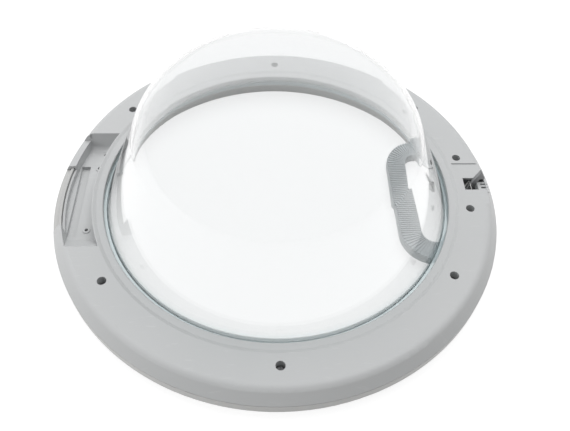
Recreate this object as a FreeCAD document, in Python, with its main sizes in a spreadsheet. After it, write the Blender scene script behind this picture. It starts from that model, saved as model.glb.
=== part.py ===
import FreeCAD, Part
import math
import os
import re
import Sketcher

# Washing machine door, lying face down as on a bench: the front frame is on the floor, z = 0,
# the glass bowl points up, and +X points to the latch. All lengths are millimetres.

SIZES = [
    ("outer_radius", 220, "outermost edge, at the parting line of the two frames"),
    ("parting_height", 20, "parting line above the floor"),
    ("flat_height", 34, "flat inner face of the rear frame above the floor"),
    ("skin", 2.5, "moulded wall"),
    ("weld", 0.3, "how far a rib or pillar runs into the wall that carries it"),
    ("seam_gap", 0.6, "shadow line between the two frames"),
    ("flat_edge_radius", 210.5, "where the flat face and the sloped side wall would meet"),
    ("edge_rounding", 8, "rounding of that edge"),
    ("step_radius", 180, "step between the flat face and the inner band"),
    ("step_drop", 1.2, "inner band below the flat face"),
    ("step_run", 3, "slope of that step, along the radius"),
    ("lip_radius", 170.3, "inner edge of the rear frame"),
    ("lip_wall", 3, "wall that presses on the glass"),
    ("lip_rounding", 1.2, "rounding of the inner edge"),
    ("seat_height", 21, "seat of the glass above the floor"),
    ("flange_radius", 178, "outer edge of the glass flange"),
    ("flange_thickness", 8, "thickness of the glass flange"),
    ("glass_wall", 3.8, "thickness of the bowl"),
    ("bowl_base_radius", 167, "where the bowl's wall would meet the flange"),
    ("bowl_draft", 23, "lean of the bowl's wall, degrees"),
    ("bowl_top", 172.3, "top of the bowl above the floor"),
    ("dome_radius", 232, "radius of the bowl's top"),
    ("shoulder_rounding", 74, "rounding between wall and top, outside"),
    ("base_rounding", 2, "rounding between flange and wall, outside"),
    ("rim_rounding", 1, "rounding of the bowl's inner edge at the seat"),
    ("glass_clearance", 0.6, "gap around the glass flange"),
    ("glass_fence", 3.5, "fence around the glass flange, above the seat"),
    ("window_radius", 172, "window of the front frame"),
    ("funnel_radius", 178, "where the front frame's funnel leaves the flat front"),
    ("funnel_height", 17, "upper edge of the funnel"),
    ("funnel_rounding", 4, "rounding of the funnel's outer edge"),
    ("front_rounding", 10, "rounding of the front frame's outer edge"),
    ("tongue_rise", 2.5, "tongue of the front frame above the parting line"),
    ("tongue_clearance", 0.6, "gap around the tongue"),
    ("joggle_low", 12, "where the front frame's wall starts to step in to the tongue"),
    ("joggle_high", 15, "where that step ends"),
    ("screw_circle", 191, "radius of the screw circle"),
    ("screw_angle_latch", 10.1, "screws beside the latch, degrees from +X"),
    ("screw_angle_front", 35, "next pair of screws"),
    ("screw_angle_side", 90, "screws at the sides"),
    ("screw_angle_hinge", 145, "screws above and below the hinge pocket"),
    ("latch_turn", 1, "screws at the latch half, degrees off the line from hinge to latch"),
    ("screw_joint", 20.5, "plane where rear and front pillars meet"),
    ("screw_floor", 2, "floor of the rear pillar under the screw head"),
    ("screw_radius", 2, "screw shank"),
    ("screw_depth", 11, "screw below the joint of the pillars"),
    ("screw_bottom_gap", 1, "room below the screw in its pilot hole"),
    ("head_radius", 3.7, "screw head"),
    ("head_height", 2.6, "screw head"),
    ("cross_half", 2.2, "half length of the cross recess in a screw head"),
    ("cross_width", 1, "width of its arms"),
    ("cross_depth", 1.5, "its depth"),
    ("recess_radius", 4.2, "recess down to the screw head"),
    ("pilot_clearance", 0.05, "gap between screw and pilot hole"),
    ("shank_clearance", 0.25, "gap between screw and rear pillar"),
    ("rear_pillar_radius", 6.2, "rear screw pillar"),
    ("front_pillar_radius", 4.5, "front screw pillar"),
    ("pocket_radius", 181, "inner wall of the hinge pocket"),
    ("pocket_outer_radius", 209.5, "outer side of the hinge pocket"),
    ("pocket_half", 72.7, "half length of the hinge pocket at the flat face"),
    ("pocket_depth", 20, "floor of the hinge pocket below the flat face"),
    ("tub_gap", 0.4, "gap between the pocket's tub and the front frame"),
    ("ramp_run", 21.7, "slope at the pocket's lower end"),
    ("end_run", 4, "lean of the pocket's upper end wall"),
    ("pocket_rounding", 6, "rounding at the foot of that wall"),
    ("channel_near", 195.5, "inner side of the channel in the pocket floor"),
    ("channel_far", 204.5, "outer side of the channel"),
    ("channel_low", 48, "lower end of the channel"),
    ("channel_high", 43, "upper end of the channel"),
    ("channel_depth", 4, "channel below the pocket floor"),
    ("notch_low", 46, "lower end of the hinge opening in the side wall"),
    ("notch_high", 34, "upper end of the hinge opening"),
    ("shelf_height", 25.5, "lowered side wall above the floor"),
    ("hinge_hole_radius", 1.7, "pilot hole for a hinge screw"),
    ("hinge_boss_radius", 3.6, "raised boss around it"),
    ("hinge_boss_rise", 1, "boss above the pocket floor"),
    ("hinge_hole_x", 186, "two hinge holes, from the door's axis"),
    ("hinge_hole_y", 40, "same, from the middle of the pocket"),
    ("hinge_third_x", 182.5, "third hinge hole, from the door's axis"),
    ("hinge_third_y", 60, "same, from the middle of the pocket"),
    ("panel_half", 26.8, "half length of the shallow latch panel"),
    ("latch_shift", 2.3, "latch panel and slot, off the line from hinge to latch"),
    ("slot_near", 189, "latch slot, inner end"),
    ("slot_far", 210.5, "latch slot, outer end"),
    ("slot_half", 7.7, "half width of the latch slot"),
    ("guide_near", 203, "ribbed guide in the slot, inner side"),
    ("guide_spine", 3, "its spine"),
    ("guide_bar", 2.2, "its bars"),
    ("guide_high", 32, "its top above the floor"),
    ("guide_low", 24, "its underside above the floor"),
    ("guide_gap", 0.5, "gap between the guide and the hook"),
    ("pivot_x", 197.5, "pivot pin, from the door's axis"),
    ("pivot_height", 13, "pivot pin above the floor"),
    ("pin_radius", 2, "pivot pin"),
    ("running_gap", 0.05, "gap between the pin and what turns on it"),
    ("pin_end_gap", 0.5, "pin short of its outer saddles' faces"),
    ("saddle_half", 5, "half width of a pin saddle along X"),
    ("saddle_width", 4.5, "pin saddle along the pin"),
    ("saddle_rise", 4, "saddle above the pin's axis"),
    ("saddle_side", 1, "gap between the handle's hubs and the outer saddles"),
    ("saddle_upper", 18.5, "saddle beside the hook spring"),
    ("saddle_lower", 10, "saddle on the hook's other side"),
    ("keeper_half", 1.8, "rear frame's rib that keeps the pin down, half width"),
    ("grip_edge", 120, "handle's inner edge, from the door's axis"),
    ("grip_width", 22, "width of the grip bar"),
    ("grip_half", 78, "half length of the handle"),
    ("grip_corner", 34, "outer corner of the handle"),
    ("grip_low", 5, "underside of the grip above the floor"),
    ("grip_high", 15, "top of the grip above the floor"),
    ("grip_end", 162, "end of the grip's arms, from the door's axis"),
    ("grip_rounding", 3, "rounding of the grip's edges"),
    ("rib_width", 1.1, "grip rib"),
    ("rib_rise", 1.2, "grip rib above the grip"),
    ("rib_inset", 1.2, "end of a rib from the grip's edge"),
    ("rib_pitch", 2.45, "spacing of the grip ribs"),
    ("arm_low", 9, "underside of the handle's arms above the floor"),
    ("arm_inset", 2, "arms inside the grip's outline"),
    ("arm_lap", 4, "length over which an arm runs into the grip"),
    ("arm_stop_gap", 0.3, "gap between the arms and the seat they stop against"),
    ("hub_near", 44, "handle hub, side towards the hook"),
    ("hub_far", 56, "handle hub, outer side"),
    ("bar_near", 170, "handle's cross bar, inner side"),
    ("bar_far", 178, "handle's cross bar, outer side"),
    ("bar_low", 10, "cross bar's underside above the floor"),
    ("bar_high", 16, "cross bar's top above the floor"),
    ("hook_near", 5.7, "hook, side towards the guide"),
    ("hook_far", 9.5, "hook, other side"),
    ("hook_hub", 5.5, "hook's hub"),
    ("hook_top", 46.5, "hook's point above the floor"),
    ("hook_reach", 12.5, "hook's nose outside the pivot"),
    ("hook_catch", 36, "catching face of the hook above the floor"),
    ("hook_lead", 5.5, "lead-in slope of the nose along X"),
    ("hook_overhang", 5, "catching face along X"),
    ("hook_nose", 1, "blunt edge of the nose"),
    ("hook_back", 3, "inner face of the hook outside the pivot, at the catch"),
    ("hook_root", 2.5, "inner face of the hook inside the pivot, at the hub"),
    ("hook_tail", 16.5, "hook's tail inside the pivot"),
    ("tail_low", 8, "tail's underside above the floor"),
    ("tail_high", 12, "tail's top above the floor"),
    ("lug_gap", 0.3, "gap between the handle's lug and the hook's tail"),
    ("lug_reach", 187, "end of the handle's lug, from the door's axis"),
    ("wire_radius", 0.6, "spring wire"),
    ("bend_radius", 0.64, "spring wire where it bends into a leg"),
    ("coil_radius", 3.2, "middle of the spring wire from the pin's axis"),
    ("coil_pitch", 1.4, "spacing of the spring's turns"),
    ("coil_side", 1.2, "first turn from the piece beside it"),
    ("hook_turns", 4.75, "turns of the hook spring"),
    ("handle_turns", 2, "turns of the handle spring"),
    ("hook_leg_height", 28, "where the hook spring's leg crosses behind the hook"),
    ("hook_leg_end", 1.5, "end of that leg, past the line from hinge to latch"),
    ("leg_gap", 0.2, "gap between a spring's leg and what it pushes"),
    ("foot_x", 187, "where the springs' feet rest, from the door's axis"),
    ("window_half", 81, "half length of the handle's opening in the front frame"),
    ("window_depth_radius", 185.5, "outer side of the handle's opening"),
]

NAMES = {alias for alias, number, note in SIZES}

doc = FreeCAD.newDocument("washer_door")
sheet = doc.addObject("Spreadsheet::Sheet", "dims")
for row, (alias, number, note) in enumerate(SIZES, start=1):
    sheet.set(f"A{row}", alias)
    sheet.set(f"B{row}", str(number))
    sheet.set(f"C{row}", note)
    sheet.setAlias(f"B{row}", alias)
doc.recompute()

# Lengths that follow from the sizes above, as expressions
SIDE_SLOPE = "((outer_radius - flat_edge_radius) / (flat_height - parting_height))"
SIDE_ACROSS = f"(skin * sqrt(1 + {SIDE_SLOPE}^2))"
FLAT_UNDERSIDE = "(flat_height - skin)"
RIB_TOP = f"({FLAT_UNDERSIDE} + weld)"
FLANGE_TOP = "(seat_height + flange_thickness)"
SEAT_UNDERSIDE = "(seat_height - skin)"
TONGUE_OUTER = f"(outer_radius - tongue_rise * {SIDE_SLOPE} - {SIDE_ACROSS} - tongue_clearance)"
TONGUE_INNER = f"({TONGUE_OUTER} - skin)"
FENCE_RADIUS = "(flange_radius + glass_clearance)"
HEAD_SEAT = "(screw_joint + screw_floor)"
POCKET_FLOOR = "(flat_height - pocket_depth)"
TUB_UNDERSIDE = f"({POCKET_FLOOR} - channel_depth - skin)"
PANEL_HEIGHT = "(flat_height - step_drop)"
ARM_HIGH = f"({SEAT_UNDERSIDE} - arm_stop_gap)"
HUB_RADIUS = f"({ARM_HIGH} - pivot_height - arm_stop_gap)"
PIN_HOLE = "(pin_radius + running_gap)"
GRIP_BACK = "(grip_edge + grip_width)"
OUTER_SADDLE = "(hub_far + saddle_side)"
SCREW_ANGLES = [
    "(latch_turn + screw_angle_latch)",
    "(latch_turn - screw_angle_latch)",
    "(latch_turn + screw_angle_front)",
    "(latch_turn - screw_angle_front)",
    "screw_angle_side",
    "(-screw_angle_side)",
    "screw_angle_hinge",
    "(-screw_angle_hinge)",
]
SCREW_PLACES = [
    (f"screw_circle * cos({angle} * 1 deg)", f"screw_circle * sin({angle} * 1 deg)")
    for angle in SCREW_ANGLES
]


def bound(text):
    """The same expression with every size read from the sheet."""
    def from_sheet(match):
        word = match.group(0)
        return f"dims.{word}" if word in NAMES else word

    return re.sub(r"[a-z][a-z_]*", from_sheet, text)


def value(text):
    return float(sheet.evalExpression(text))


def bind(thing, prop, text):
    thing.setExpression(prop, bound(text))


def new_body(name):
    body = doc.addObject("PartDesign::Body", name)
    body.Label = name
    return body


def new_sketch(body, name, plane="XY_Plane", offset="0"):
    """A sketch on one of the body's own planes; offset runs along the plane's normal."""
    sketch = body.newObject("Sketcher::SketchObject", name)
    support = [feature for feature in body.Origin.OriginFeatures if feature.Role == plane]
    sketch.AttachmentSupport = [(support[0], "")]
    sketch.MapMode = "FlatFace"
    bind(sketch, "AttachmentOffset.Base.z", offset)
    return sketch


def tie(sketch, kind, places, text):
    """A driving constraint whose number comes from the sheet."""
    index = sketch.addConstraint(Sketcher.Constraint(kind, *places, value(text)))
    bind(sketch, f"Constraints[{index}]", text)


def tie_point(sketch, geo, end, x, y):
    tie(sketch, "DistanceX", (-1, 1, geo, end), x)
    tie(sketch, "DistanceY", (-1, 1, geo, end), y)


def point(x, y):
    return FreeCAD.Vector(value(x), value(y), 0)


def polygon(sketch, corners):
    """Closed outline of straight lines through corners, each an (x, y) pair of expressions."""
    geos = []
    for (x1, y1), (x2, y2) in zip(corners, corners[1:] + corners[:1]):
        geos.append(sketch.addGeometry(Part.LineSegment(point(x1, y1), point(x2, y2))))
    for geo, after in zip(geos, geos[1:] + geos[:1]):
        sketch.addConstraint(Sketcher.Constraint("Coincident", geo, 2, after, 1))
    for geo, (x, y) in zip(geos, corners):
        tie_point(sketch, geo, 1, x, y)


def box_outline(sketch, x_low, x_high, y_low, y_high):
    polygon(sketch, [(x_low, y_low), (x_high, y_low), (x_high, y_high), (x_low, y_high)])


def circle(sketch, x, y, radius):
    geo = sketch.addGeometry(Part.Circle(point(x, y), FreeCAD.Vector(0, 0, 1), value(radius)))
    tie_point(sketch, geo, 3, x, y)
    tie(sketch, "Radius", (geo,), radius)


def ring_outline(sketch, side, inner, outer, y_low, y_high):
    """Piece of a ring around the door's axis between two lines along X; side is 1 for +X, -1 for -X."""
    def on_ring(radius, y):
        return FreeCAD.Vector(side * (value(radius) ** 2 - value(y) ** 2) ** 0.5, value(y), 0)

    corners = [on_ring(inner, y_low), on_ring(outer, y_low), on_ring(outer, y_high), on_ring(inner, y_high)]
    low = sketch.addGeometry(Part.LineSegment(corners[0], corners[1]))
    high = sketch.addGeometry(Part.LineSegment(corners[2], corners[3]))
    arcs = []
    for radius, first, last in ((outer, corners[1], corners[2]), (inner, corners[0], corners[3])):
        whole = Part.Circle(FreeCAD.Vector(), FreeCAD.Vector(0, 0, 1), value(radius))
        start, end = (first, last) if side > 0 else (last, first)
        arcs.append(sketch.addGeometry(Part.ArcOfCircle(whole, whole.parameter(start), whole.parameter(end))))
    lower_end, upper_end = (1, 2) if side > 0 else (2, 1)
    for arc, radius in zip(arcs, (outer, inner)):
        sketch.addConstraint(Sketcher.Constraint("Coincident", arc, 3, -1, 1))
        tie(sketch, "Radius", (arc,), radius)
    sketch.addConstraint(Sketcher.Constraint("Coincident", low, 2, arcs[0], lower_end))
    sketch.addConstraint(Sketcher.Constraint("Coincident", high, 1, arcs[0], upper_end))
    sketch.addConstraint(Sketcher.Constraint("Coincident", high, 2, arcs[1], upper_end))
    sketch.addConstraint(Sketcher.Constraint("Coincident", low, 1, arcs[1], lower_end))
    sketch.addConstraint(Sketcher.Constraint("Horizontal", low))
    sketch.addConstraint(Sketcher.Constraint("Horizontal", high))
    tie(sketch, "DistanceY", (-1, 1, low, 1), y_low)
    tie(sketch, "DistanceY", (-1, 1, high, 1), y_high)


def screw_circles(sketch, radius):
    """One circle at each screw."""
    for x, y in SCREW_PLACES:
        circle(sketch, x, y, radius)


def revolve(body, sketch, name):
    feature = body.newObject("PartDesign::Revolution", name)
    feature.Profile = sketch
    feature.ReferenceAxis = (sketch, ["V_Axis"])
    feature.Angle = 360
    doc.recompute()
    return feature


def pad(body, sketch, name, length, reverse=False):
    feature = body.newObject("PartDesign::Pad", name)
    feature.Profile = sketch
    bind(feature, "Length", length)
    feature.Reversed = reverse
    doc.recompute()
    return feature


def pocket(body, sketch, name, depth, both_ways=False):
    """Cut against the sketch's normal, or half of depth to each side."""
    before = body.Shape.Volume
    feature = body.newObject("PartDesign::Pocket", name)
    feature.Profile = sketch
    bind(feature, "Length", depth)
    feature.Midplane = both_ways
    doc.recompute()
    if not feature.Shape.Volume < before:
        raise RuntimeError(f"{name} cuts nothing")
    return feature


def fillet(body, name, radius, test):
    """Round the edges of the body's last feature that pass the test."""
    base = body.Tip
    edges = [f"Edge{n}" for n, edge in enumerate(base.Shape.Edges, start=1) if test(edge)]
    if not edges:
        raise RuntimeError(f"{name} found no edge")
    feature = body.newObject("PartDesign::Fillet", name)
    feature.Base = (base, edges)
    bind(feature, "Radius", radius)
    doc.recompute()
    return feature


def hoop(radius, height):
    """Test for a whole circle around the door's axis."""
    def test(edge):
        if edge.Degenerated or edge.Curve.TypeId != "Part::GeomCircle":
            return False
        right_size = abs(edge.Curve.Radius - value(radius)) < 0.01
        return right_size and abs(edge.Curve.Center.z - value(height)) < 0.01
    return test


def upright(x, y):
    """Test for a straight edge along Z through (x, y) or its mirror image in Y."""
    def test(edge):
        first, last = edge.Vertexes[0].Point, edge.Vertexes[-1].Point
        level = abs(first.x - last.x) + abs(first.y - last.y) < 0.01
        return level and abs(first.x - value(x)) + abs(abs(first.y) - value(y)) < 0.01
    return test


def make_rear_frame():
    body = new_body("rear_frame")
    section = new_sketch(body, "rear_section", "XZ_Plane")
    band = "flat_height - step_drop"
    polygon(section, [
        ("lip_radius", FLANGE_TOP),
        ("lip_radius", band),
        ("step_radius - step_run", band),
        ("step_radius", "flat_height"),
        ("flat_edge_radius", "flat_height"),
        ("outer_radius", "parting_height"),
        (f"outer_radius - {SIDE_ACROSS}", "parting_height"),
        (f"flat_edge_radius + skin * {SIDE_SLOPE} - {SIDE_ACROSS}", FLAT_UNDERSIDE),
        ("step_radius", FLAT_UNDERSIDE),
        ("step_radius - step_run", f"{band} - skin"),
        ("lip_radius + lip_wall", f"{band} - skin"),
        ("lip_radius + lip_wall", FLANGE_TOP),
    ])
    revolve(body, section, "rear_shell")
    fillet(body, "outer_edge", "edge_rounding", hoop("flat_edge_radius", "flat_height"))
    fillet(body, "inner_edge", "lip_rounding", hoop("lip_radius", band))

    # pillars over the front frame's, each with a deep recess for a screw head
    pillars = new_sketch(body, "rear_pillar_plan", offset="screw_joint")
    screw_circles(pillars, "rear_pillar_radius")
    pad(body, pillars, "rear_pillars", f"{RIB_TOP} - screw_joint")
    add_hinge_pocket(body)
    add_latch_side(body)
    recesses = new_sketch(body, "recess_plan", offset="flat_height")
    screw_circles(recesses, "recess_radius")
    pocket(body, recesses, "screw_recesses", f"flat_height - {HEAD_SEAT}")
    holes = new_sketch(body, "shank_plan", offset=HEAD_SEAT)
    screw_circles(holes, "screw_radius + shank_clearance")
    pocket(body, holes, "shank_holes", "screw_floor")
    return body


def add_hinge_pocket(body):
    """Deep moulded tub for the hinge, open through the side wall."""
    tub_inner = "pocket_radius - skin"
    tub_half = "pocket_half + skin"
    lower = new_sketch(body, "tub_lower_plan", offset=TUB_UNDERSIDE)
    ring_outline(lower, -1, tub_inner, f"{TONGUE_INNER} - tongue_clearance", f"-({tub_half})", tub_half)
    pad(body, lower, "tub_lower", f"parting_height - {TUB_UNDERSIDE}")
    upper = new_sketch(body, "tub_upper_plan", offset="parting_height - weld")
    ring_outline(upper, -1, tub_inner, "flat_edge_radius - edge_rounding / 2", f"-({tub_half})", tub_half)
    pad(body, upper, "tub_upper", f"{RIB_TOP} - parting_height + weld")

    # above and below the opening the tub is closed up to the side wall, clear of the front frame's tongue
    foot = "(parting_height + tongue_rise + tongue_clearance)"
    block_inner = "flat_edge_radius - edge_rounding / 2 - weld"
    spans = [("upper", "notch_high - weld", tub_half), ("lower", f"-({tub_half})", "weld - notch_low")]
    risers = new_sketch(body, "riser_plan", offset="parting_height - weld")
    for side, low, high in spans:
        ring_outline(risers, -1, block_inner, f"{TONGUE_INNER} - tongue_clearance", low, high)
    pad(body, risers, "tub_risers", f"{foot} - parting_height + 2 * weld")
    for side, low, high in spans:
        outlines = []
        for level in (foot, RIB_TOP):
            outline = new_sketch(body, f"{side}_block_plan", offset=level)
            wall = f"outer_radius - {SIDE_ACROSS} / 2 - ({level} - parting_height) * {SIDE_SLOPE}"
            ring_outline(outline, -1, block_inner, wall, low, high)
            outlines.append(outline)
        block = body.newObject("PartDesign::AdditiveLoft", f"{side}_block")
        block.Profile = outlines[0]
        block.Sections = outlines[1:]
        block.Ruled = True
        doc.recompute()

    floor = new_sketch(body, "pocket_floor", offset=POCKET_FLOOR)
    floor_low, floor_high = "ramp_run - pocket_half", "pocket_half - end_run"
    ring_outline(floor, -1, "pocket_radius", "pocket_outer_radius", floor_low, floor_high)
    mouth = new_sketch(body, "pocket_mouth", offset="flat_height")
    ring_outline(mouth, -1, "pocket_radius", "pocket_outer_radius", "-pocket_half", "pocket_half")
    before = body.Shape.Volume
    cut = body.newObject("PartDesign::SubtractiveLoft", "hinge_pocket")
    cut.Profile = floor
    cut.Sections = [mouth]
    cut.Ruled = True
    doc.recompute()
    if not cut.Shape.Volume < before:
        raise RuntimeError("hinge_pocket cuts nothing")

    def end_foot(edge):
        ends = [vertex.Point for vertex in edge.Vertexes]
        off = [abs(end.y - value(floor_high)) + abs(end.z - value(POCKET_FLOOR)) for end in ends]
        return max(off) < 0.01

    fillet(body, "pocket_end", "pocket_rounding", end_foot)

    channel = new_sketch(body, "channel_plan", offset=POCKET_FLOOR)
    box_outline(channel, "-channel_far", "-channel_near", "-channel_low", "channel_high")
    pocket(body, channel, "hinge_channel", "channel_depth")
    notch = new_sketch(body, "notch_plan", offset="flat_height")
    ring_outline(notch, -1, "pocket_outer_radius - weld", "outer_radius + skin", "-notch_low", "notch_high")
    pocket(body, notch, "hinge_opening", "flat_height - parting_height")
    shelf = new_sketch(body, "shelf_plan", offset="flat_height")
    shelf_low, shelf_high = "notch_high - weld", "pocket_half - end_run / 2"
    ring_outline(shelf, -1, "pocket_outer_radius - weld", "outer_radius + skin", shelf_low, shelf_high)
    pocket(body, shelf, "lowered_wall", "flat_height - shelf_height")

    places = [
        ("-hinge_hole_x", "hinge_hole_y"),
        ("-hinge_hole_x", "-hinge_hole_y"),
        ("-hinge_third_x", "hinge_third_y"),
    ]
    bosses = new_sketch(body, "hinge_boss_plan", offset=f"{POCKET_FLOOR} - weld")
    for x, y in places[:2]:
        circle(bosses, x, y, "hinge_boss_radius")
    pad(body, bosses, "hinge_bosses", "hinge_boss_rise + weld")
    holes = new_sketch(body, "hinge_hole_plan", offset=f"{POCKET_FLOOR} + hinge_boss_rise")
    for x, y in places:
        circle(holes, x, y, "hinge_hole_radius")
    pocket(body, holes, "hinge_holes", f"{POCKET_FLOOR} + hinge_boss_rise - {TUB_UNDERSIDE}")


def add_latch_side(body):
    """Shallow panel, slot for the hook, guide in the slot and ribs that keep the pin in its saddles."""
    backing = new_sketch(body, "panel_backing_plan", offset=f"{PANEL_HEIGHT} - skin")
    low, high = "latch_shift - panel_half", "latch_shift + panel_half"
    ring_outline(backing, 1, "step_radius", "flat_edge_radius + weld", f"{low} - skin", f"{high} + skin")
    pad(body, backing, "panel_backing", "skin")
    panel = new_sketch(body, "panel_plan", offset="flat_height")
    ring_outline(panel, 1, "step_radius + step_run", "outer_radius", low, high)
    pocket(body, panel, "latch_panel", "step_drop")
    slot = new_sketch(body, "slot_plan", offset="flat_height")
    box_outline(slot, "slot_near", "slot_far", "latch_shift - slot_half", "latch_shift + slot_half")
    pocket(body, slot, "latch_slot", "flat_height - parting_height")

    guide = new_sketch(body, "guide_plan", offset="guide_low")
    spine = "guide_near + guide_spine"
    wall = "slot_far + skin"
    slot_low = "latch_shift - slot_half"
    low, high = f"{slot_low} - skin", "hook_near - guide_gap"
    middle = f"(hook_near + {slot_low}) / 2"
    polygon(guide, [
        ("guide_near", low),
        (wall, low),
        (wall, f"{slot_low} + guide_bar"),
        (spine, f"{slot_low} + guide_bar"),
        (spine, f"{middle} - guide_bar / 2"),
        (wall, f"{middle} - guide_bar / 2"),
        (wall, f"{middle} + guide_bar / 2"),
        (spine, f"{middle} + guide_bar / 2"),
        (spine, f"{high} - guide_bar"),
        (wall, f"{high} - guide_bar"),
        (wall, high),
        ("guide_near", high),
    ])
    pad(body, guide, "slot_guide", "guide_high - guide_low")

    keepers = new_sketch(body, "keeper_plan", offset="pivot_height + pin_radius + running_gap")
    for low, high in saddle_spans():
        box_outline(keepers, "pivot_x - keeper_half", "pivot_x + keeper_half", low, high)
    pad(body, keepers, "pin_keepers", f"{RIB_TOP} - pivot_height - pin_radius - running_gap")


def saddle_spans():
    """Where the pin's saddles lie along Y: one outside each handle hub, one on each side of the hook."""
    outer = OUTER_SADDLE
    return [
        (outer, f"{outer} + saddle_width"),
        (f"-{outer} - saddle_width", f"-{outer}"),
        ("saddle_upper", "saddle_upper + saddle_width"),
        ("-saddle_lower - saddle_width", "-saddle_lower"),
    ]


def make_front_frame():
    body = new_body("front_frame")
    section = new_sketch(body, "front_section", "XZ_Plane")
    steepness = "(funnel_height / (funnel_radius - window_radius))"
    across = f"(skin * sqrt(1 + {steepness}^2))"
    polygon(section, [
        ("outer_radius", "parting_height - seam_gap"),
        ("outer_radius", "0"),
        ("funnel_radius", "0"),
        ("window_radius", "funnel_height"),
        ("window_radius", "seat_height"),
        (FENCE_RADIUS, "seat_height"),
        (FENCE_RADIUS, "seat_height + glass_fence"),
        (f"{FENCE_RADIUS} + skin", "seat_height + glass_fence"),
        (f"{FENCE_RADIUS} + skin", SEAT_UNDERSIDE),
        ("window_radius + skin", SEAT_UNDERSIDE),
        ("window_radius + skin", f"funnel_height - skin * {steepness} + {across}"),
        (f"funnel_radius + ({across} - skin) / {steepness}", "skin"),
        ("outer_radius - skin", "skin"),
        ("outer_radius - skin", "joggle_low"),
        (TONGUE_INNER, "joggle_high"),
        (TONGUE_INNER, "parting_height + tongue_rise"),
        (TONGUE_OUTER, "parting_height + tongue_rise"),
        (TONGUE_OUTER, "parting_height - seam_gap"),
    ])
    revolve(body, section, "front_shell")
    fillet(body, "front_inner_corner", "front_rounding - skin", hoop("outer_radius - skin", "skin"))
    fillet(body, "front_outer_corner", "front_rounding", hoop("outer_radius", "0"))
    fillet(body, "funnel_edge", "funnel_rounding", hoop("funnel_radius", "0"))

    opening = new_sketch(body, "handle_opening_plan", offset=SEAT_UNDERSIDE)
    ring_outline(opening, 1, "window_radius - skin", "window_depth_radius", "-window_half", "window_half")
    pocket(body, opening, "handle_opening", f"{SEAT_UNDERSIDE} + skin")

    # the fence makes room for the rear frame's hinge pocket
    room = new_sketch(body, "hinge_room_plan", offset="seat_height + glass_fence")
    half = "pocket_half + skin + tub_gap"
    ring_outline(room, -1, "pocket_radius - skin - tub_gap", f"{FENCE_RADIUS} + 2 * skin", f"-({half})", half)
    pocket(body, room, "hinge_room", f"seat_height + glass_fence - {SEAT_UNDERSIDE}")

    pillars = new_sketch(body, "front_pillar_plan", offset="skin - weld")
    screw_circles(pillars, "front_pillar_radius")
    pad(body, pillars, "front_pillars", "screw_joint - skin + weld")
    pilots = new_sketch(body, "pilot_plan", offset="screw_joint")
    screw_circles(pilots, "screw_radius + pilot_clearance")
    pocket(body, pilots, "pilot_holes", "screw_depth + screw_bottom_gap")

    saddles = new_sketch(body, "saddle_plan", offset="skin - weld")
    for low, high in saddle_spans():
        box_outline(saddles, "pivot_x - saddle_half", "pivot_x + saddle_half", low, high)
    pad(body, saddles, "pin_saddles", "pivot_height + saddle_rise - skin + weld")
    round_seats = new_sketch(body, "saddle_seat", "XZ_Plane")
    circle(round_seats, "pivot_x", "pivot_height", PIN_HOLE)
    reach = f"2 * ({OUTER_SADDLE} + 2 * saddle_width)"
    pocket(body, round_seats, "saddle_seats", reach, both_ways=True)
    mouths = new_sketch(body, "saddle_mouth", "XZ_Plane")
    top = "pivot_height + saddle_rise + weld"
    box_outline(mouths, f"pivot_x - {PIN_HOLE}", f"pivot_x + {PIN_HOLE}", "pivot_height", top)
    pocket(body, mouths, "saddle_mouths", reach, both_ways=True)
    return body


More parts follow.
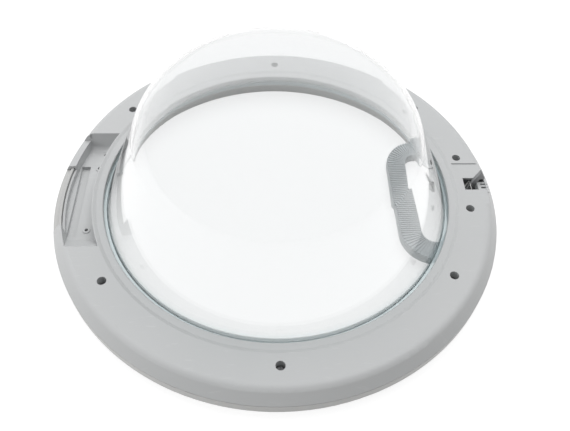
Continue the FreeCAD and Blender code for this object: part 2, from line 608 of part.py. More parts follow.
def make_glass_bowl():
    body = new_body("glass_bowl")
    sketch = new_sketch(body, "bowl_section", "XZ_Plane")
    draft = math.radians(value("bowl_draft"))
    up_wall = FreeCAD.Vector(-math.sin(draft), math.cos(draft), 0)
    inward = FreeCAD.Vector(-math.cos(draft), -math.sin(draft), 0)
    dome_centre = point("0", "bowl_top - dome_radius")

    def shoulder(base, rounding, radius):
        """Arcs of shoulder and dome above a wall that leans in from base."""
        start = base + inward * rounding - dome_centre
        along = start.dot(up_wall)
        rise = -along + (along ** 2 - start.dot(start) + (radius - rounding) ** 2) ** 0.5
        centre = base + inward * rounding + up_wall * rise
        turn = math.atan2(centre.y - dome_centre.y, centre.x - dome_centre.x)
        normal = FreeCAD.Vector(0, 0, 1)
        rounded = Part.ArcOfCircle(Part.Circle(centre, normal, rounding), draft, turn)
        dome = Part.ArcOfCircle(Part.Circle(dome_centre, normal, radius), turn, math.pi / 2)
        return rounded, dome

    outer_base = point("bowl_base_radius", FLANGE_TOP)
    spread = "flange_thickness * tan(bowl_draft * 1 deg)"
    inner_base = point(f"bowl_base_radius + {spread} - glass_wall / cos(bowl_draft * 1 deg)", "seat_height")
    inner_rounding, inner_radius = "shoulder_rounding - glass_wall", "dome_radius - glass_wall"
    outer_arcs = shoulder(outer_base, value("shoulder_rounding"), value("dome_radius"))
    inner_arcs = shoulder(inner_base, value(inner_rounding), value(inner_radius))
    rim_low, rim_high = point("flange_radius", "seat_height"), point("flange_radius", FLANGE_TOP)
    edges = [
        Part.LineSegment(rim_low, rim_high),
        Part.LineSegment(rim_high, outer_base),
        Part.LineSegment(outer_base, outer_arcs[0].StartPoint),
        *outer_arcs,
        Part.LineSegment(point("0", "bowl_top"), point("0", "bowl_top - glass_wall")),
        *inner_arcs,
        Part.LineSegment(inner_arcs[0].StartPoint, inner_base),
        Part.LineSegment(inner_base, rim_low),
    ]
    geos = [sketch.addGeometry(edge) for edge in edges]
    rim, flange, outside, outer_shoulder, outer_dome, axis, inner_shoulder, inner_dome, inside, seat = geos
    joins = [
        ("Coincident", rim, 2, flange, 1),
        ("Coincident", flange, 2, outside, 1),
        ("Tangent", outside, 2, outer_shoulder, 1),
        ("Tangent", outer_shoulder, 2, outer_dome, 1),
        ("Coincident", outer_dome, 2, axis, 1),
        ("Coincident", axis, 2, inner_dome, 2),
        ("Tangent", inner_dome, 1, inner_shoulder, 2),
        ("Tangent", inner_shoulder, 1, inside, 1),
        ("Coincident", inside, 2, seat, 1),
        ("Coincident", seat, 2, rim, 1),
        ("Coincident", outer_dome, 3, inner_dome, 3),
        ("PointOnObject", outer_dome, 3, -2),
        ("PointOnObject", axis, 1, -2),
        ("PointOnObject", axis, 2, -2),
        ("Horizontal", flange),
        ("Horizontal", seat),
        ("Vertical", rim),
        ("Parallel", outside, inside),
    ]
    for join in joins:
        sketch.addConstraint(Sketcher.Constraint(*join))
    tie_point(sketch, rim, 1, "flange_radius", "seat_height")
    tie(sketch, "DistanceY", (rim, 1, rim, 2), "flange_thickness")
    tie(sketch, "DistanceX", (-1, 1, outside, 1), "bowl_base_radius")
    tie(sketch, "DistanceY", (-1, 1, axis, 1), "bowl_top")
    tie(sketch, "Radius", (outer_dome,), "dome_radius")
    tie(sketch, "Radius", (inner_dome,), inner_radius)
    tie(sketch, "Radius", (outer_shoulder,), "shoulder_rounding")
    tie(sketch, "Radius", (inner_shoulder,), inner_rounding)
    tie(sketch, "Distance", (outside, 1, inside), "glass_wall")
    lean = sketch.addConstraint(Sketcher.Constraint("Angle", outside, math.pi / 2 + draft))
    bind(sketch, f"Constraints[{lean}]", "(90 + bowl_draft) * 1 deg")
    revolve(body, sketch, "bowl_shell")
    fillet(body, "outer_base", "base_rounding", hoop(str(outer_base.x), str(outer_base.y)))
    fillet(body, "inner_base", "rim_rounding", hoop(str(inner_base.x), str(inner_base.y)))
    return body


def pattern_ribs(body, kind, name, originals, axis, extent, count):
    feature = body.newObject(f"PartDesign::{kind}", name)
    feature.Originals = originals
    if kind == "PolarPattern":
        feature.Axis = axis
        bind(feature, "Angle", extent)
    else:
        feature.Direction = axis
        bind(feature, "Length", extent)
    bind(feature, "Occurrences", count)
    body.Tip = feature
    doc.recompute()
    return feature


def make_pull_handle():
    body = new_body("pull_handle")
    inner_half = "grip_half - grip_width"
    plan = new_sketch(body, "grip_plan", offset="grip_low")
    polygon(plan, [
        ("grip_edge", "-grip_half"),
        ("grip_end", "-grip_half"),
        ("grip_end", f"-({inner_half})"),
        (GRIP_BACK, f"-({inner_half})"),
        (GRIP_BACK, inner_half),
        ("grip_end", inner_half),
        ("grip_end", "grip_half"),
        ("grip_edge", "grip_half"),
    ])
    pad(body, plan, "grip", "grip_high - grip_low")
    fillet(body, "grip_outer_corners", "grip_corner", upright("grip_edge", "grip_half"))
    fillet(body, "grip_inner_corners", "grip_corner - grip_width", upright(GRIP_BACK, inner_half))

    def level_edge(edge):
        heights = [vertex.Point.z for vertex in edge.Vertexes]
        past_end = min(vertex.Point.x for vertex in edge.Vertexes) > value("grip_end") - 0.01
        return max(heights) - min(heights) < 0.01 and not past_end

    fillet(body, "grip_edges", "grip_rounding", level_edge)
    add_handle_arms(body)
    add_grip_ribs(body)
    return body


def add_grip_ribs(body):
    """Cross ribs along the grip: the straight stretch, round both corners, and one on each arm."""
    root = "grip_rounding / 2"
    corner_x, corner_y = "(grip_edge + grip_corner)", "(grip_half - grip_corner)"
    near, far = "grip_corner - rib_inset", "grip_corner - grip_width + rib_inset"
    straight_count = f"floor(2 * {corner_y} / rib_pitch) - 1"
    corner_count = "floor((grip_corner - grip_width / 2) * pi / 2 / rib_pitch) + 1"

    straight = new_sketch(body, "straight_rib_plan", offset=f"grip_high - {root}")
    start = f"{corner_y} - rib_pitch"
    span = f"(2 * ({start}))"
    box_outline(straight, "grip_edge + rib_inset", f"{GRIP_BACK} - rib_inset",
                f"-({start}) - rib_width / 2", f"-({start}) + rib_width / 2")
    rib = pad(body, straight, "straight_rib", f"{root} + rib_rise")
    pattern_ribs(body, "LinearPattern", "straight_ribs", [rib], (straight, ["V_Axis"]), span, straight_count)

    for side, sign in (("upper", ""), ("lower", "-")):
        corner = new_sketch(body, f"{side}_corner_rib_plan", offset=f"grip_high - {root}")
        bind(corner, "AttachmentOffset.Base.x", corner_x)
        bind(corner, "AttachmentOffset.Base.y", f"{sign}{corner_y}")
        box_outline(corner, f"-({near})", f"-({far})", "-rib_width / 2", "rib_width / 2")
        rib = pad(body, corner, f"{side}_corner_rib", f"{root} + rib_rise")
        turn = (corner, ["N_Axis"])
        ribs = pattern_ribs(body, "PolarPattern", f"{side}_corner_ribs", [rib], turn, "90", corner_count)
        ribs.Reversed = side == "upper"
        arm = new_sketch(body, f"{side}_arm_rib_plan", offset=f"grip_high - {root}")
        bind(arm, "AttachmentOffset.Base.x", f"{corner_x} + rib_pitch")
        bind(arm, "AttachmentOffset.Base.y", f"{sign}{corner_y}")
        ends = sorted([f"{sign}({near})", f"{sign}({far})"], key=value)
        box_outline(arm, "-rib_width / 2", "rib_width / 2", *ends)
        pad(body, arm, f"{side}_arm_rib", f"{root} + rib_rise")
    doc.recompute()


def add_handle_arms(body):
    """Arms under the glass seat, hubs on the pin, and a cross bar with a lug over the hook's tail."""
    arms = new_sketch(body, "arm_plan", offset="arm_low")
    for sign in ("", "-"):
        polygon(arms, [
            ("grip_end - arm_lap", f"{sign}(grip_half - grip_width + arm_inset)"),
            ("bar_near - 2 * arm_inset", f"{sign}(hub_near + arm_inset)"),
            ("pivot_x", f"{sign}(hub_near + arm_inset)"),
            ("pivot_x", f"{sign}(hub_far - arm_inset)"),
            ("window_depth_radius", f"{sign}(hub_far - arm_inset)"),
            ("grip_end + arm_inset", f"{sign}(grip_half - arm_inset)"),
            ("grip_end - arm_lap", f"{sign}(grip_half - arm_inset)"),
        ])
    pad(body, arms, "arms", f"{ARM_HIGH} - arm_low")
    for side, plane in (("upper", "-hub_far"), ("lower", "hub_near")):
        hub = new_sketch(body, f"{side}_hub_outline", "XZ_Plane", plane)
        circle(hub, "pivot_x", "pivot_height", HUB_RADIUS)
        pad(body, hub, f"{side}_hub", "hub_far - hub_near")
    bar = new_sketch(body, "cross_bar_plan", offset="bar_low")
    bar_half = "hub_near + 2 * arm_inset"
    box_outline(bar, "bar_near", "bar_far", f"-({bar_half})", bar_half)
    pad(body, bar, "cross_bar", "bar_high - bar_low")
    lug = new_sketch(body, "lug_plan", offset="tail_high + lug_gap")
    box_outline(lug, "bar_far - weld", "lug_reach", "hook_near", "hook_far")
    pad(body, lug, "lug", "bar_high - tail_high - lug_gap")
    bore = new_sketch(body, "handle_bore_outline", "XZ_Plane")
    circle(bore, "pivot_x", "pivot_height", PIN_HOLE)
    pocket(body, bore, "handle_bore", "2 * hub_far + saddle_side", both_ways=True)


def make_latch_hook():
    body = new_body("latch_hook")
    width = "hook_far - hook_near"
    outline = new_sketch(body, "hook_outline", "XZ_Plane", "-hook_far")
    polygon(outline, [
        ("pivot_x - hook_root", "pivot_height + hook_root"),
        ("pivot_x + hook_back", "hook_catch"),
        ("pivot_x + hook_reach - hook_lead", "hook_top"),
        ("pivot_x + hook_reach", "hook_catch + hook_nose"),
        ("pivot_x + hook_reach", "hook_catch"),
        ("pivot_x + hook_reach - hook_overhang", "hook_catch"),
        ("pivot_x + hook_hub", "pivot_height"),
        ("pivot_x", "pivot_height"),
    ])
    pad(body, outline, "hook_stem", width)
    hub = new_sketch(body, "hook_hub_outline", "XZ_Plane", "-hook_far")
    circle(hub, "pivot_x", "pivot_height", "hook_hub")
    pad(body, hub, "hook_hub_pad", width)
    tail = new_sketch(body, "hook_tail_outline", "XZ_Plane", "-hook_far")
    box_outline(tail, "pivot_x - hook_tail", "pivot_x", "tail_low", "tail_high")
    pad(body, tail, "hook_tail_pad", width)
    bore = new_sketch(body, "hook_bore_outline", "XZ_Plane")
    circle(bore, "pivot_x", "pivot_height", PIN_HOLE)
    pocket(body, bore, "hook_bore", "4 * hook_far", both_ways=True)
    return body


def make_pivot_pin():
    pin = doc.addObject("Part::Cylinder", "pivot_pin")
    pin.Label = "pivot_pin"
    bind(pin, "Radius", "pin_radius")
    end = f"({OUTER_SADDLE} + saddle_width - pin_end_gap)"
    bind(pin, "Height", f"2 * {end}")
    pin.Placement.Rotation = FreeCAD.Rotation(FreeCAD.Vector(1, 0, 0), -90)
    bind(pin, "Placement.Base.x", "pivot_x")
    bind(pin, "Placement.Base.y", f"-{end}")
    bind(pin, "Placement.Base.z", "pivot_height")
    doc.recompute()
    return pin


def make_spring(name, first_y, turns, start_angle, first_leg, last_leg):
    """Torsion spring on the pin. Angles run from +X towards the floor; legs go on from the coil's ends."""
    wire, radius, pitch = value("wire_radius"), value("coil_radius"), value("coil_pitch")
    helix = Part.makeHelix(pitch, pitch * value(turns), radius)
    ring = Part.makeCircle(wire, FreeCAD.Vector(radius, 0, 0), FreeCAD.Vector(0, 1, 0))
    coil = Part.Wire(helix).makePipeShell([Part.Wire(ring)], True, True)
    coil.rotate(FreeCAD.Vector(), FreeCAD.Vector(0, 0, 1), start_angle)
    coil.rotate(FreeCAD.Vector(), FreeCAD.Vector(1, 0, 0), -90)
    pivot = FreeCAD.Vector(value("pivot_x"), value(first_y), value("pivot_height"))
    coil.translate(pivot)

    def coil_point(turn):
        angle = math.radians(start_angle + 360 * turn)
        place = FreeCAD.Vector(radius * math.cos(angle), pitch * turn, -radius * math.sin(angle))
        return pivot + place

    shape = coil
    bend = value("bend_radius")
    for start, leg in ((coil_point(0), first_leg), (coil_point(value(turns)), last_leg)):
        for end in leg:
            run = end - start
            shape = shape.fuse(Part.makeSphere(bend, start))
            shape = shape.fuse(Part.makeCylinder(wire, run.Length, start, run))
            start = end
    spring = doc.addObject("Part::Feature", name)
    spring.Label = name
    spring.Shape = shape.Solids[0]
    return spring


def make_springs():
    wire = "wire_radius"
    foot_height = value(f"skin + {wire} + leg_gap")
    foot_x = value("foot_x")

    hook_y = value("hook_far + coil_side")
    share = "((hook_leg_height - pivot_height - hook_root) / (hook_catch - pivot_height - hook_root))"
    behind = value(f"pivot_x - hook_root + (hook_back + hook_root) * {share} - {wire} - leg_gap")
    height = value("hook_leg_height")
    last_y = hook_y + value("hook_turns * coil_pitch")
    leg_end = value("-hook_leg_end")
    hook_leg = [FreeCAD.Vector(behind, hook_y, height), FreeCAD.Vector(behind, leg_end, height)]
    hook_foot = [FreeCAD.Vector(foot_x, last_y, foot_height)]
    hook_spring = make_spring("hook_spring", "hook_far + coil_side", "hook_turns", 180, hook_leg, hook_foot)

    handle_first = "-hub_near + coil_side"
    first_y = value(handle_first)
    last_y = first_y + value("handle_turns * coil_pitch")
    under_bar = value(f"bar_low - {wire} - leg_gap")
    handle_foot = [FreeCAD.Vector(foot_x, first_y, foot_height)]
    handle_leg = [FreeCAD.Vector(value("bar_near + bar_far") / 2, last_y, under_bar)]
    handle_spring = make_spring("handle_spring", handle_first, "handle_turns", 90, handle_foot, handle_leg)
    return [hook_spring, handle_spring]


def make_frame_screws():
    body = new_body("frame_screws")
    shanks = new_sketch(body, "screw_shank_plan", offset="screw_joint - screw_depth")
    screw_circles(shanks, "screw_radius")
    pad(body, shanks, "screw_shanks", "screw_depth + screw_floor")
    heads = new_sketch(body, "screw_head_plan", offset=HEAD_SEAT)
    screw_circles(heads, "head_radius")
    pad(body, heads, "screw_heads", "head_height")
    top = value(f"{HEAD_SEAT} + head_height")
    fillet(body, "head_rounding", "head_height / 3", lambda edge: abs(edge.BoundBox.ZMin - top) < 0.01)
    arms = {"first": ("cross_half", "cross_width / 2"), "second": ("cross_width / 2", "cross_half")}
    for arm, (across, along) in arms.items():
        crosses = new_sketch(body, f"{arm}_cross_plan", offset=f"{HEAD_SEAT} + head_height")
        for x, y in SCREW_PLACES:
            box_outline(crosses, f"{x} - {across}", f"{x} + {across}", f"{y} - {along}", f"{y} + {along}")
        pocket(body, crosses, f"{arm}_cross_arms", "cross_depth")
    return body


parts = [
    make_rear_frame(),
    make_front_frame(),
    make_glass_bowl(),
    make_pull_handle(),
    make_latch_hook(),
    make_pivot_pin(),
    *make_springs(),
    make_frame_screws(),
]
doc.recompute()

failed = [thing.Name for thing in doc.Objects if {"Invalid", "Error"} & set(thing.State)]
if failed:
    raise RuntimeError(f"failed: {failed}")
for part in parts:
    if part.Shape.isNull() or not part.Shape.isValid():
        raise RuntimeError(f"{part.Label} has no valid shape")

os.makedirs("parts", exist_ok=True)
for part in parts:
    part.Shape.exportStep(f"parts/{part.Label}.step")
    print(part.Label, len(part.Shape.Solids), "solids,", round(part.Shape.Volume / 1000, 2), "cm3")
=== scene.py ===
import math
import bpy
from mathutils import Matrix, Vector


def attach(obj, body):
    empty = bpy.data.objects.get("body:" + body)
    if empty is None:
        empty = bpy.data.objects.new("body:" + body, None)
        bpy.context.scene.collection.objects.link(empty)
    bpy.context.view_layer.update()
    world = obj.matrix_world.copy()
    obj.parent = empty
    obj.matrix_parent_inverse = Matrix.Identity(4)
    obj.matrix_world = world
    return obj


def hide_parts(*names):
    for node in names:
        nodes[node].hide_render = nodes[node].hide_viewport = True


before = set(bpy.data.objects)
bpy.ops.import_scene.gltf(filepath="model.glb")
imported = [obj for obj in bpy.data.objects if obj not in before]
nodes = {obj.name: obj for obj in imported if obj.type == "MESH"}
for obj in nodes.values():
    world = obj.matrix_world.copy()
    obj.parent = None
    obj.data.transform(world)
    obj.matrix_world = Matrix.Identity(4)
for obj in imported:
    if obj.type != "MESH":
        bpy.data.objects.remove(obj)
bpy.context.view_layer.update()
scene = bpy.context.scene
scene.view_settings.view_transform = "Standard"
print("frame loaded:", ", ".join(sorted(nodes)))


# a value on its way through a node tree
class Wire:
    def __init__(self, finish, socket):
        self.finish = finish
        self.socket = socket

    def maths(self, operation, first, second):
        return self.finish.node("ShaderNodeMath", {"operation": operation}, {0: first, 1: second})

    def __add__(self, other):
        return self.maths("ADD", self, other)

    def __radd__(self, other):
        return self.maths("ADD", other, self)

    def __sub__(self, other):
        return self.maths("SUBTRACT", self, other)

    def __rsub__(self, other):
        return self.maths("SUBTRACT", other, self)

    def __mul__(self, other):
        return self.maths("MULTIPLY", self, other)

    def __rmul__(self, other):
        return self.maths("MULTIPLY", other, self)


# the node tree of one material, or of the world
class Finish:
    def __init__(self, owner):
        self.owner = owner
        owner.use_nodes = True
        self.tree = owner.node_tree
        self.tree.nodes.clear()

    def node(self, kind, settings=None, sockets=None, output=0):
        made = self.tree.nodes.new(kind)
        for key, setting in (settings or {}).items():
            if key == "stops":
                for stop, (position, shade) in zip(made.color_ramp.elements, setting):
                    stop.position = position
                    stop.color = (shade, shade, shade, 1)
            else:
                setattr(made, key, setting)
        for key, value in (sockets or {}).items():
            if isinstance(value, Wire):
                self.tree.links.new(value.socket, made.inputs[key])
            else:
                made.inputs[key].default_value = value
        return Wire(self, made.outputs[output]) if made.outputs else None

    def place(self):
        return self.node("ShaderNodeTexCoord", output="Object")

    def noise(self, scale, detail, stretch=(1, 1, 1)):
        where = self.node("ShaderNodeMapping", {}, {"Vector": self.place(), "Scale": stretch})
        return self.node("ShaderNodeTexNoise", {}, {"Vector": where, "Scale": scale, "Detail": detail})

    def height(self):
        return self.node("ShaderNodeSeparateXYZ", {}, {"Vector": self.place()}, output="Z")

    def ray(self, kind):
        return self.node("ShaderNodeLightPath", output=kind)

    def ramp(self, value, low, high):
        return self.node("ShaderNodeValToRGB", {"stops": [(low, 0), (high, 1)]}, {"Fac": value})

    # inputs 6 and 7 and output 2 of the mix node are its colours
    def blend(self, factor, first, second):
        return self.node("ShaderNodeMix", {"data_type": "RGBA"}, {0: factor, 6: first, 7: second}, output=2)

    def bump(self, height, strength, distance):
        sockets = {"Height": height, "Strength": strength, "Distance": distance}
        return self.node("ShaderNodeBump", {}, sockets)

    def surface(self, sockets):
        return self.node("ShaderNodeBsdfPrincipled", {}, sockets)

    def close(self, shader, output="ShaderNodeOutputMaterial"):
        self.node(output, {}, {"Surface": shader})
        return self.owner


def moulded(name, look):
    finish = Finish(bpy.data.materials.new(name))
    cloud = finish.noise(look["cloudScale"], look["cloudDetail"])
    grain = finish.noise(look["grainScale"], look["grainDetail"])
    scuff = finish.noise(look["scuffScale"], look["scuffDetail"], look["scuffStretch"])
    scuff = finish.ramp(scuff, look["scuffLow"], look["scuffHigh"])
    colour = finish.blend(cloud, look["darker"], look["lighter"])
    colour = finish.blend(scuff * look["scuffAmount"], colour, look["scuffColour"])
    rough = look["roughness"] + look["cloudRoughness"] * cloud + look["scuffRoughness"] * scuff
    normal = finish.bump(grain, look["grainStrength"], look["grainDepth"])
    body = finish.surface({"Base Color": colour, "Roughness": rough, "Normal": normal, "IOR": look["ior"]})
    return finish.close(body)


rearLook = {
    "darker": (0.545, 0.555, 0.56, 1),
    "lighter": (0.585, 0.592, 0.595, 1),
    "scuffColour": (0.66, 0.665, 0.67, 1),
    "scuffAmount": 0.35,
    "scuffScale": 60.0,
    "scuffDetail": 4.0,
    "scuffStretch": (1, 6, 1),
    "scuffLow": 0.62,
    "scuffHigh": 0.72,
    "scuffRoughness": 0.1,
    "cloudScale": 9.0,
    "cloudDetail": 3.0,
    "cloudRoughness": 0.08,
    "grainScale": 2600.0,
    "grainDetail": 2.0,
    "grainStrength": 0.12,
    "grainDepth": 0.0002,
    "roughness": 0.34,
    "ior": 1.46,
}
frontLook = dict(rearLook, darker=(0.52, 0.52, 0.515, 1), lighter=(0.56, 0.56, 0.552, 1))
handleLook = dict(
    rearLook,
    darker=(0.62, 0.65, 0.67, 1),
    lighter=(0.65, 0.68, 0.7, 1),
    scuffColour=(0.68, 0.7, 0.715, 1),
    roughness=0.4,
)
hookLook = dict(
    rearLook,
    darker=(0.36, 0.36, 0.365, 1),
    lighter=(0.41, 0.41, 0.415, 1),
    scuffColour=(0.42, 0.42, 0.42, 1),
    roughness=0.36,
)


def pressedGlass(name, look):
    finish = Finish(bpy.data.materials.new(name))
    ripple = finish.noise(look["rippleScale"], look["rippleDetail"])
    smudge = finish.noise(look["smudgeScale"], look["smudgeDetail"])
    smudge = finish.ramp(smudge, look["smudgeLow"], look["smudgeHigh"])
    aboveRim = finish.ramp((finish.height() - look["rimLow"]) * (1 / look["rimFade"]), 0, 1)
    normal = finish.bump(ripple * aboveRim, look["rippleStrength"], look["rippleDepth"])
    body = finish.surface({
        "Base Color": finish.blend(aboveRim, look["rimTint"], look["tint"]),
        "Roughness": look["roughness"] + look["smudgeRoughness"] * smudge,
        "Transmission Weight": 1.0,
        "IOR": look["ior"],
        "Coat Weight": look["coat"],
        "Normal": normal,
    })
    frost = finish.surface({"Base Color": look["frostColour"], "Roughness": look["frostRoughness"]})
    onRim = finish.ramp((finish.height() - look["frostLow"]) * (1 / look["frostFade"]), 0, 1)
    rimmed = finish.node("ShaderNodeMixShader", {}, {0: (1 - onRim) * look["frost"], 1: body, 2: frost})
    clear = finish.node("ShaderNodeBsdfTransparent", {}, {"Color": look["shadowTint"]})
    lampRay = finish.ray("Is Shadow Ray")
    return finish.close(finish.node("ShaderNodeMixShader", {}, {0: lampRay, 1: rimmed, 2: clear}))


glassLook = {
    "tint": (0.885, 0.892, 0.895, 1),
    "rimTint": (0.8, 0.9, 0.91, 1),
    "rimLow": 0.021,
    "rimFade": 0.014,
    "coat": 0.9,
    "frost": 0.6,
    "frostColour": (0.74, 0.83, 0.86, 1),
    "frostRoughness": 0.5,
    "frostLow": 0.0275,
    "frostFade": 0.0015,
    "shadowTint": (0.93, 0.95, 0.95, 1),
    "ior": 1.5,
    "roughness": 0.0,
    "smudgeRoughness": 0.02,
    "smudgeScale": 12.0,
    "smudgeDetail": 4.0,
    "smudgeLow": 0.5,
    "smudgeHigh": 0.75,
    "rippleScale": 22.0,
    "rippleDetail": 1.0,
    "rippleStrength": 0.003,
    "rippleDepth": 0.002,
}


def drawnSteel(name, look):
    finish = Finish(bpy.data.materials.new(name))
    streak = finish.noise(look["streakScale"], look["streakDetail"], look["streakStretch"])
    colour = finish.blend(streak, look["darker"], look["lighter"])
    normal = finish.bump(streak, look["streakStrength"], look["streakDepth"])
    body = finish.surface({
        "Base Color": colour,
        "Metallic": 1.0,
        "Roughness": look["roughness"] + look["streakRoughness"] * streak,
        "Normal": normal,
    })
    return finish.close(body)


pinLook = {
    "darker": (0.62, 0.62, 0.61, 1),
    "lighter": (0.8, 0.8, 0.79, 1),
    "streakScale": 900.0,
    "streakDetail": 3.0,
    "streakStretch": (1, 0.02, 1),
    "streakStrength": 0.15,
    "streakDepth": 0.0001,
    "streakRoughness": 0.15,
    "roughness": 0.2,
}
screwLook = dict(
    pinLook,
    darker=(0.3, 0.3, 0.31, 1),
    lighter=(0.45, 0.45, 0.46, 1),
    streakStretch=(1, 1, 1),
    roughness=0.32,
)

finishes = {
    "rear_frame": moulded("paleMoulding", rearLook),
    "front_frame": moulded("frontMoulding", frontLook),
    "pull_handle": moulded("greyMoulding", handleLook),
    "latch_hook": moulded("castHook", hookLook),
    "glass_bowl": pressedGlass("pressedGlass", glassLook),
    "frame_screws": drawnSteel("platedScrew", screwLook),
}
steel = drawnSteel("drawnSteel", pinLook)
for name in ("pivot_pin", "hook_spring", "handle_spring"):
    finishes[name] = steel
for name, material in finishes.items():
    nodes[name].material_slots[0].material = material
print("finishes:", len(finishes), "nodes")


# the glass is spun again on its CAD profile, finer than the CAD mesh, so that it refracts smoothly
bowlLook = {
    "flangeRadius": 0.178,
    "flangeRounding": 0.0006,
    "seat": 0.021,
    "flangeTop": 0.029,
    "baseRadius": 0.167,
    "draft": 23.0,
    "top": 0.1723,
    "domeRadius": 0.232,
    "shoulder": 0.074,
    "wall": 0.0038,
    "baseRounding": 0.002,
    "rimRounding": 0.001,
    "arcSteps": 26,
    "cornerSteps": 6,
    "spinSteps": 240,
    "mergeGap": 0.00001,
}


def arcPoints(centre, radius, start, end, steps):
    turns = [start + (end - start) * count / steps for count in range(steps + 1)]
    return [centre + radius * Vector((math.cos(turn), math.sin(turn))) for turn in turns]


def roundCorner(before, corner, after, radius, steps):
    back = (before - corner).normalized()
    ahead = (after - corner).normalized()
    half = back.angle(ahead) / 2
    centre = corner + (back + ahead).normalized() * (radius / math.sin(half))
    first = corner + back * (radius / math.tan(half)) - centre
    last = corner + ahead * (radius / math.tan(half)) - centre
    start = math.atan2(first.y, first.x)
    sweep = math.remainder(math.atan2(last.y, last.x) - start, 2 * math.pi)
    return arcPoints(centre, radius, start, start + sweep, steps)


# wall, shoulder and dome at one depth in the glass, from the pole down
def bowlSide(look, depth):
    draft = math.radians(look["draft"])
    base = Vector((look["baseRadius"] - depth / math.cos(draft), look["flangeTop"]))
    shoulder = look["shoulder"] - depth
    domeRadius = look["domeRadius"] - depth
    domeCentre = Vector((0, look["top"] - look["domeRadius"]))
    upWall = Vector((-math.sin(draft), math.cos(draft)))
    start = base - shoulder * Vector((math.cos(draft), math.sin(draft))) - domeCentre
    along = start.dot(upWall)
    rise = -along + math.sqrt(along ** 2 - start.length_squared + (domeRadius - shoulder) ** 2)
    centre = start + upWall * rise
    meet = math.atan2(centre.y, centre.x)
    dome = arcPoints(domeCentre, domeRadius, math.pi / 2, meet, look["arcSteps"])
    dome[0].x = 0
    return dome + arcPoints(domeCentre + centre, shoulder, meet, draft, look["arcSteps"])[1:]


def bowlOutline(look):
    outside = bowlSide(look, 0)
    inside = bowlSide(look, look["wall"])[::-1]
    draft = math.radians(look["draft"])
    base = Vector((look["baseRadius"], look["flangeTop"]))
    spread = (look["flangeTop"] - look["seat"]) * math.tan(draft) - look["wall"] / math.cos(draft)
    rim = Vector((look["baseRadius"] + spread, look["seat"]))
    high = Vector((look["flangeRadius"], look["flangeTop"]))
    low = Vector((look["flangeRadius"], look["seat"]))
    steps = look["cornerSteps"]
    outline = outside + roundCorner(outside[-1], base, high, look["baseRounding"], steps)
    outline += roundCorner(base, high, low, look["flangeRounding"], steps)
    outline += roundCorner(high, low, rim, look["flangeRounding"], steps)
    return outline + roundCorner(low, rim, inside[0], look["rimRounding"], steps) + inside


def spinBowl(look):
    outline = bowlOutline(look)
    bpy.ops.object.select_all(action="DESELECT")
    bpy.ops.mesh.primitive_plane_add(size=look["wall"])
    bowl = bpy.context.active_object
    bowl.name = "spunBowl"
    bpy.ops.object.mode_set(mode="EDIT")
    bpy.ops.mesh.select_all(action="SELECT")
    bpy.ops.mesh.merge(type="CENTER")
    bpy.ops.transform.translate(value=(outline[0].x, 0, outline[0].y))
    for before, after in zip(outline, outline[1:]):
        step = after - before
        bpy.ops.mesh.extrude_region_move(TRANSFORM_OT_translate={"value": (step.x, 0, step.y)})
    bpy.ops.mesh.select_all(action="SELECT")
    bpy.ops.mesh.spin(steps=look["spinSteps"], angle=2 * math.pi, center=(0, 0, 0), axis=(0, 0, 1))
    bpy.ops.mesh.select_all(action="SELECT")
    bpy.ops.mesh.remove_doubles(threshold=look["mergeGap"])
    bpy.ops.mesh.normals_make_consistent(inside=False)
    bpy.ops.object.mode_set(mode="OBJECT")
    bpy.ops.object.shade_smooth()
    bowl.data.materials.append(finishes["glass_bowl"])
    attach(bowl, "frame")
    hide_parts("glass_bowl")
    print("bowl:", len(outline), "outline points,", len(bowl.data.polygons), "faces")


spinBowl(bowlLook)


# white where it is seen, mirrored or seen through glass, and plain where its light falls on the object
def whiteToEye(finish, seen, lit):
    looked = 0
    for kind in ("Is Camera Ray", "Is Glossy Ray", "Is Transmission Ray"):
        looked = finish.node("ShaderNodeMath", {"operation": "MAXIMUM"}, {0: looked, 1: finish.ray(kind)})
    bounces = finish.ray("Diffuse Depth")
    direct = finish.node("ShaderNodeMath", {"operation": "LESS_THAN"}, {0: bounces, 1: 1})
    return finish.node("ShaderNodeMixShader", {}, {0: looked * direct, 1: lit, 2: seen})


floorLook = {
    "size": 12.0,
    "level": -0.0003,
    "albedo": (0.72, 0.72, 0.705, 1),
    "shadowShare": (0.3, 0.3, 0.3, 1),
    "glow": 0.86,
}


def addFloor(look):
    bpy.ops.object.select_all(action="DESELECT")
    bpy.ops.mesh.primitive_plane_add(size=look["size"], location=(0, 0, look["level"]))
    floor = bpy.context.active_object
    floor.name = "floor"
    finish = Finish(bpy.data.materials.new("floorWhite"))
    lit = finish.node("ShaderNodeBsdfDiffuse", {}, {"Color": look["albedo"]})
    shadowed = finish.node("ShaderNodeBsdfDiffuse", {}, {"Color": look["shadowShare"]})
    glow = finish.node("ShaderNodeEmission", {}, {"Color": (1, 1, 1, 1), "Strength": look["glow"]})
    seen = finish.node("ShaderNodeAddShader", {}, {0: shadowed, 1: glow})
    floor.data.materials.append(finish.close(whiteToEye(finish, seen, lit)))


worldLook = {"ambient": (0.33, 0.332, 0.333, 1), "backdrop": (1, 1, 1, 1)}


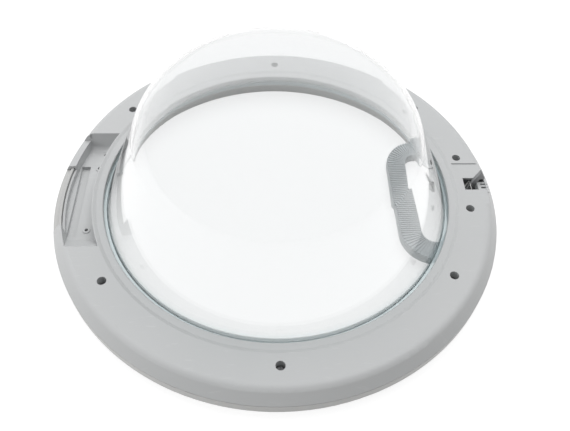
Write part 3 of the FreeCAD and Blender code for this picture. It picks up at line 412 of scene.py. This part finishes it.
def addWorld(look):
    studio = Finish(bpy.data.worlds.new("studio"))
    # lamp rays pass the glass straight, so light that comes bent through it isn't counted again
    unbent = 1 - studio.ray("Is Transmission Ray")
    room = studio.node("ShaderNodeBackground", {}, {"Color": look["ambient"], "Strength": unbent})
    backdrop = studio.node("ShaderNodeBackground", {}, {"Color": look["backdrop"]})
    scene.world = studio.close(whiteToEye(studio, backdrop, room), "ShaderNodeOutputWorld")


lampLooks = {
    "overhead": {"place": (0.1, 0.55, 1.5), "aim": (0, 0.1, 0), "size": 1.6, "power": 22.5},
    "windowSide": {"place": (-1.4, -0.5, 0.5), "aim": (0, 0, 0.05), "size": 0.9, "power": 6.0},
}


def addLamps(looks):
    for name, look in looks.items():
        bpy.ops.object.light_add(type="AREA", location=look["place"])
        lamp = bpy.context.active_object
        lamp.name = name
        lamp.data.size = look["size"]
        lamp.data.energy = look["power"]
        lamp.visible_glossy = False
        lamp.visible_transmission = False
        ahead = Vector(look["aim"]) - Vector(look["place"])
        lamp.rotation_euler = ahead.to_track_quat("-Z", "Y").to_euler()


cameraLook = {
    "place": (-0.01182, -0.3982, 0.5050),
    "yaw": 3.007,
    "pitch": 52.557,
    "roll": 2.127,
    "lens": 38.997,
    "sensor": 36.0,
    "clipStart": 0.01,
}


def addCamera(look):
    yaw, pitch, roll = (math.radians(look[key]) for key in ("yaw", "pitch", "roll"))
    ahead = Vector((math.sin(yaw) * math.cos(pitch), math.cos(yaw) * math.cos(pitch), -math.sin(pitch)))
    level = ahead.cross(Vector((0, 0, 1))).normalized()
    above = level.cross(ahead)
    right = level * math.cos(roll) + above * math.sin(roll)
    up = above * math.cos(roll) - level * math.sin(roll)
    bpy.ops.object.camera_add()
    camera = bpy.context.active_object
    camera.name = "camera"
    turn = Matrix((right, up, -ahead)).transposed().to_4x4()
    camera.matrix_world = Matrix.Translation(Vector(look["place"])) @ turn
    camera.data.sensor_fit = "HORIZONTAL"
    camera.data.sensor_width = look["sensor"]
    camera.data.lens = look["lens"]
    camera.data.clip_start = look["clipStart"]
    scene.camera = camera


addFloor(floorLook)
addWorld(worldLook)
addLamps(lampLooks)
addCamera(cameraLook)
print("stage ready")
